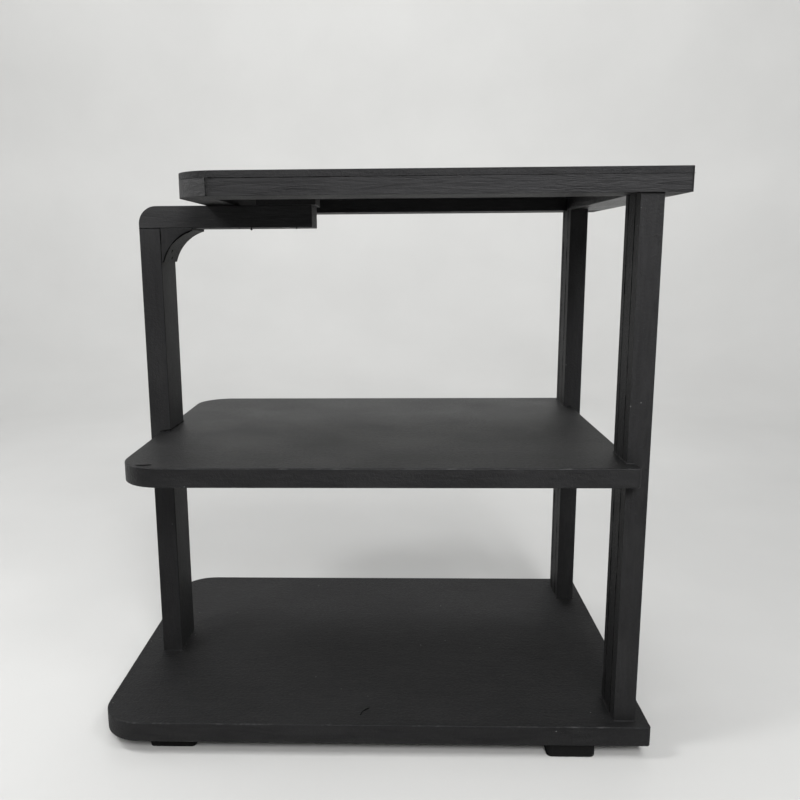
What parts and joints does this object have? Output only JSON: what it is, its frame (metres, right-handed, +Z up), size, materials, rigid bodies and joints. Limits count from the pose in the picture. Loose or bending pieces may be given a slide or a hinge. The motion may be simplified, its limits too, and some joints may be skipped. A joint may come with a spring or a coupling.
{
  "type": "three_tier_side_table",
  "caption": "Black painted side table with a base board, a middle shelf and a rimmed top, on two laminated legs and one leg with an arm.",
  "frame": {"origin": "on the floor, under the middle of the whole table's plan box", "axes": "+X to the right seen from the front, +Y to the back, +Z up"},
  "size_m": [0.5184, 0.364, 0.5245],
  "materials": {
    "painted_board": "matt black paint over plywood, with fine brush strokes",
    "painted_rim": "matt black paint over grained softwood strips",
    "painted_leg": "matt black paint over laminated strips",
    "pad_rubber": "matt black",
    "fastener_steel": "dull steel, painted over where it shows"
  },
  "bodies": {
    "root": {"base_board": "painted_board", "shelf_board": "painted_board", "top_panel": "painted_board", "top_rim_front": "painted_rim", "top_rim_back": "painted_rim", "top_rim_left": "painted_rim", "top_rim_right": "painted_rim", "top_corner_front": "painted_rim", "top_corner_back": "painted_rim", "arm": "painted_rim", "spacer_block": "painted_rim", "left_leg": "painted_leg", "gusset": "painted_leg", "front_leg_front_strip": "painted_leg", "front_leg_core_strip": "painted_leg", "front_leg_back_strip": "painted_leg", "back_leg_front_strip": "painted_leg", "back_leg_core_strip": "painted_leg", "back_leg_back_strip": "painted_leg", "foot_front_left": "pad_rubber", "foot_front_right": "pad_rubber", "foot_back_left": "pad_rubber", "foot_back_right": "pad_rubber", "base_screws": "fastener_steel", "shelf_screws": "fastener_steel", "rim_screws": "fastener_steel", "arm_screws": "fastener_steel", "spacer_screws": "fastener_steel", "gusset_brads": "fastener_steel", "panel_brads": "fastener_steel"}
  },
  "joints": []
}
